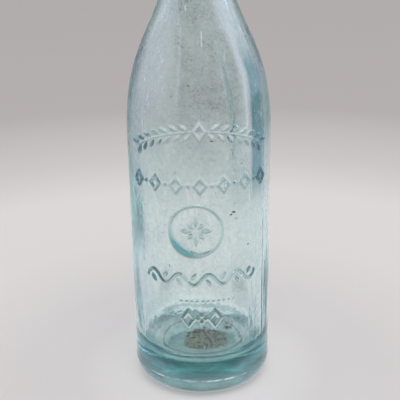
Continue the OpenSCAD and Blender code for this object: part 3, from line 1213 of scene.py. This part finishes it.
def build_cork():
    """A pressed cork disc whose edge is nibbled and whose underside keeps the lip's shallow ring."""
    angles = np.arange(CORK_SIDES) * TURN / CORK_SIDES
    wander = 0.05 * np.sin(9 * angles) + 0.04 * np.sin(23 * angles + 1.2) + 0.03 * np.sin(41 * angles)
    lip_mark = [(1.2, 0.0), (BORE_R - 0.6, 0.0), (BORE_R + 0.8, 0.0), (BORE_R + 1.4, 0.04),
                (RING_R - 2.4, 0.04), (CORK_R - 1.0, 0.02)]
    rings = [(angles, r, CORK_BOTTOM + lift) for r, lift in lip_mark]
    rings.append((angles, CORK_R - 0.35 + wander, CORK_BOTTOM + 0.05))
    rings.append((angles, CORK_R - 0.12 + wander, CORK_BOTTOM + 0.3))
    for r, z in arc((CORK_R - 0.1 - CORK_ROUND, CORK_TOP - CORK_ROUND), CORK_ROUND, 0, 84, 7):
        rings.append((angles, r + wander, z))
    rings += [(angles, r, CORK_TOP) for r in (CORK_R - CORK_ROUND - 1.0, 6.0, 2.0)]
    return revolve(rings, poles=(CORK_BOTTOM, CORK_TOP))


def pressed_cork():
    """Pressed cork: tan grains with dark pores, stained where the lip and the drink touched it."""
    made, n = material("pressed_cork")
    cells = n.add("ShaderNodeTexVoronoi", {"feature": "F1"}, {"Vector": n.place(), "Scale": 1 / (1.5 * MM)})
    grain = n.noise(0.7, 5.0, 0.65)
    pores = n.smooth(n.noise(1.0, 3.0, 0.75, warp=0.6), 0.62, 0.70)
    ring_stain = n.band(n.away(), BORE_R + 0.2, BORE_R + 1.2, RING_R - 2.3, RING_R - 1.1)
    tone = n.layered(
        colour(188, 150, 104), (n.smooth(cells, 0.15, 0.75), colour(148, 112, 74)),
        (n.smooth(grain, 0.4, 0.7, 0.0, 0.6), colour(120, 88, 58)),
        (ring_stain * 0.55, colour(84, 62, 44)), (pores, colour(58, 40, 28)))
    n.finish({"Base Color": tone, "Roughness": n.ramp(grain, 0.3, 0.7, 0.75, 0.95),
              "Normal": n.bump(grain * 0.4 - pores * 0.8 - cells * 0.2, 0.12, 0.8)})
    return made


crown = make_piece("crown_fluted", *build_crown(), worn_tinplate(), "crown")
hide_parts("crown_shell")
cork = make_piece("cork_pressed", *build_cork(), pressed_cork(), "crown")
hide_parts("cork_disc")


# ---------------------------------------------------------------- stage, light and camera

# How far out the cloth's tones reach, and the share of its tone that it keeps in full shade.
CLOTH_REACH = 600.0
SHADOW_LIFT = 0.3

# The cloth's tones by share of that reach: as the eye sees them, painted lighter near the bottle against its
# shadow, and as glass and metal do, with a painted shadow under the middle of the bottle and painted light
# round it.
CLOTH_TONES_AND_PAINTED_LIGHT = (
    (0.00, colour(242, 239, 238)), (0.05, colour(236, 233, 232)), (0.09, colour(219, 216, 215)),
    (0.13, colour(217, 213, 212)), (0.24, colour(223, 219, 216)), (0.38, colour(224, 220, 217)),
    (0.52, colour(208, 203, 201)), (0.66, colour(198, 193, 191)), (0.80, colour(186, 180, 178)))
GLASS_TONES_PAINTED_LIGHT_AND_SHADOW = (
    (0.023, colour(176, 188, 186)), (0.032, colour(246, 243, 242)), (0.13, colour(229, 222, 221)),
    (0.30, colour(234, 226, 224)), (0.45, colour(214, 209, 207)), (0.58, colour(203, 198, 196)),
    (0.66, colour(198, 193, 191)), (0.80, colour(186, 180, 178)))


def pale_floor():
    """Pale cloth round the bottle, greyer further off, and painted lighter near it against its shadow. Glass
    and metal are shown its plain tone, with a painted shadow under the bottle.
    """
    made, n = material("studio_cloth")
    away = n.away()
    tone = n.add("ShaderNodeValToRGB", {"stops": CLOTH_TONES_AND_PAINTED_LIGHT}, [away / CLOTH_REACH])
    cloth = n.add("ShaderNodeBsdfDiffuse", inputs={"Color": tone})
    shown = n.add("ShaderNodeValToRGB", {"stops": GLASS_TONES_PAINTED_LIGHT_AND_SHADOW}, [away / CLOTH_REACH])
    plain = n.add("ShaderNodeEmission", inputs={"Color": shown})
    glossy = n.add("ShaderNodeLightPath", out="Is Glossy Ray")
    through = n.add("ShaderNodeLightPath", out="Is Transmission Ray")
    seen = n.add("ShaderNodeLightPath", out="Is Camera Ray")
    own_tone = n.add("ShaderNodeEmission", inputs={"Color": tone})
    lifted = n.add("ShaderNodeMixShader", inputs=[seen * SHADOW_LIFT, cloth, own_tone])
    n.add("ShaderNodeOutputMaterial", inputs={
        "Surface": n.add("ShaderNodeMixShader", inputs=[glossy.most(through), lifted, plain])})
    return made


FLOOR_REACH = 4000
AIR_GAP = -0.06
floor_points = [(x * FLOOR_REACH, y * FLOOR_REACH, AIR_GAP) for x, y in ((-1, -1), (1, -1), (1, 1), (-1, 1))]
floor = make_piece("studio_floor", floor_points, [(0, 1, 2, 3)], pale_floor())

# The lamp, in metres and watts. It faces the middle of the body.
SOFTBOX_PLACE = Vector((0.10, -0.35, 1.0))
SOFTBOX_SIZE = (0.5, 0.35)
SOFTBOX_WATTS = 1.6
BODY_MIDDLE = Vector((0, 0, 0.08))

softbox = bpy.data.lights.new("softbox_over", "AREA")
softbox.shape = "RECTANGLE"
softbox.size, softbox.size_y = SOFTBOX_SIZE
softbox.energy = SOFTBOX_WATTS
softbox.color = (1.0, 0.99, 0.98)
lamp = bpy.data.objects.new("softbox_over", softbox)
lamp.location = SOFTBOX_PLACE
lamp.rotation_euler = (BODY_MIDDLE - SOFTBOX_PLACE).to_track_quat("-Z", "Y").to_euler()
bpy.context.scene.collection.objects.link(lamp)

# Two soft windows in the sky, which glass and metal show: their directions.
WINDOW_SIDE = tuple(Vector((-0.92, -0.05, 0.30)).normalized())
WINDOW_FAR = tuple(Vector((0.93, 0.15, 0.24)).normalized())
WINDOW_TONE = (0.78, 0.84, 1.0, 1)


def studio_air(tree):
    """A pale sky, brighter overhead, with the two windows glowing where the camera doesn't look."""
    air = Nodes(tree)
    direction = air.add("ShaderNodeTexCoord", out="Generated")

    def towards(window):
        settings = {"operation": "DOT_PRODUCT"}
        return air.add("ShaderNodeVectorMath", settings, [direction, window], out="Value")

    rise = air.smooth(air.part(direction, "Z"), -0.05, 0.7)
    sky = air.mix(rise, colour(180, 174, 173), colour(236, 236, 238))
    seen = air.add("ShaderNodeLightPath", out="Is Camera Ray")
    side = air.smooth(towards(WINDOW_SIDE), 0.74, 0.97) * 0.5
    far = air.smooth(towards(WINDOW_FAR), 0.86, 0.96) * 1.3
    glow = (side + far) * (1 - seen)
    light = air.add("ShaderNodeBackground", inputs=[air.mix(glow, sky, WINDOW_TONE), 1.0 + glow * 0.7])
    air.add("ShaderNodeOutputWorld", inputs={"Surface": light})


world = bpy.data.worlds.new("studio_air")
bpy.context.scene.world = world
world.use_nodes = True
studio_air(world.node_tree)

# The camera: its place in metres, its turns in radians, its frame in pixels and its sensor in millimetres.
CAMERA_AWAY = 0.312
CAMERA_HIGH = 0.1897
CAMERA_DOWN = math.radians(20)
CAMERA_ROLL = math.radians(-0.9)
PIXELS = 400
FOCUS_PIXELS = 813
SENSOR = 36

camera = bpy.data.objects.new("camera", bpy.data.cameras.new("camera"))
camera.data.sensor_width = SENSOR
camera.data.lens = SENSOR * FOCUS_PIXELS / PIXELS
camera.data.clip_start = 0.01
camera.location = (0, -CAMERA_AWAY, CAMERA_HIGH)
tilt = Matrix.Rotation(math.pi / 2 - CAMERA_DOWN, 4, "X")
camera.rotation_euler = (tilt @ Matrix.Rotation(CAMERA_ROLL, 4, "Z")).to_euler()
bpy.context.scene.collection.objects.link(camera)
bpy.context.scene.camera = camera

scene = bpy.context.scene
scene.view_settings.view_transform = "Standard"
scene.cycles.max_bounces = 48
scene.cycles.transmission_bounces = 48
scene.cycles.glossy_bounces = 32
scene.cycles.transparent_max_bounces = 24
scene.cycles.use_denoising = True
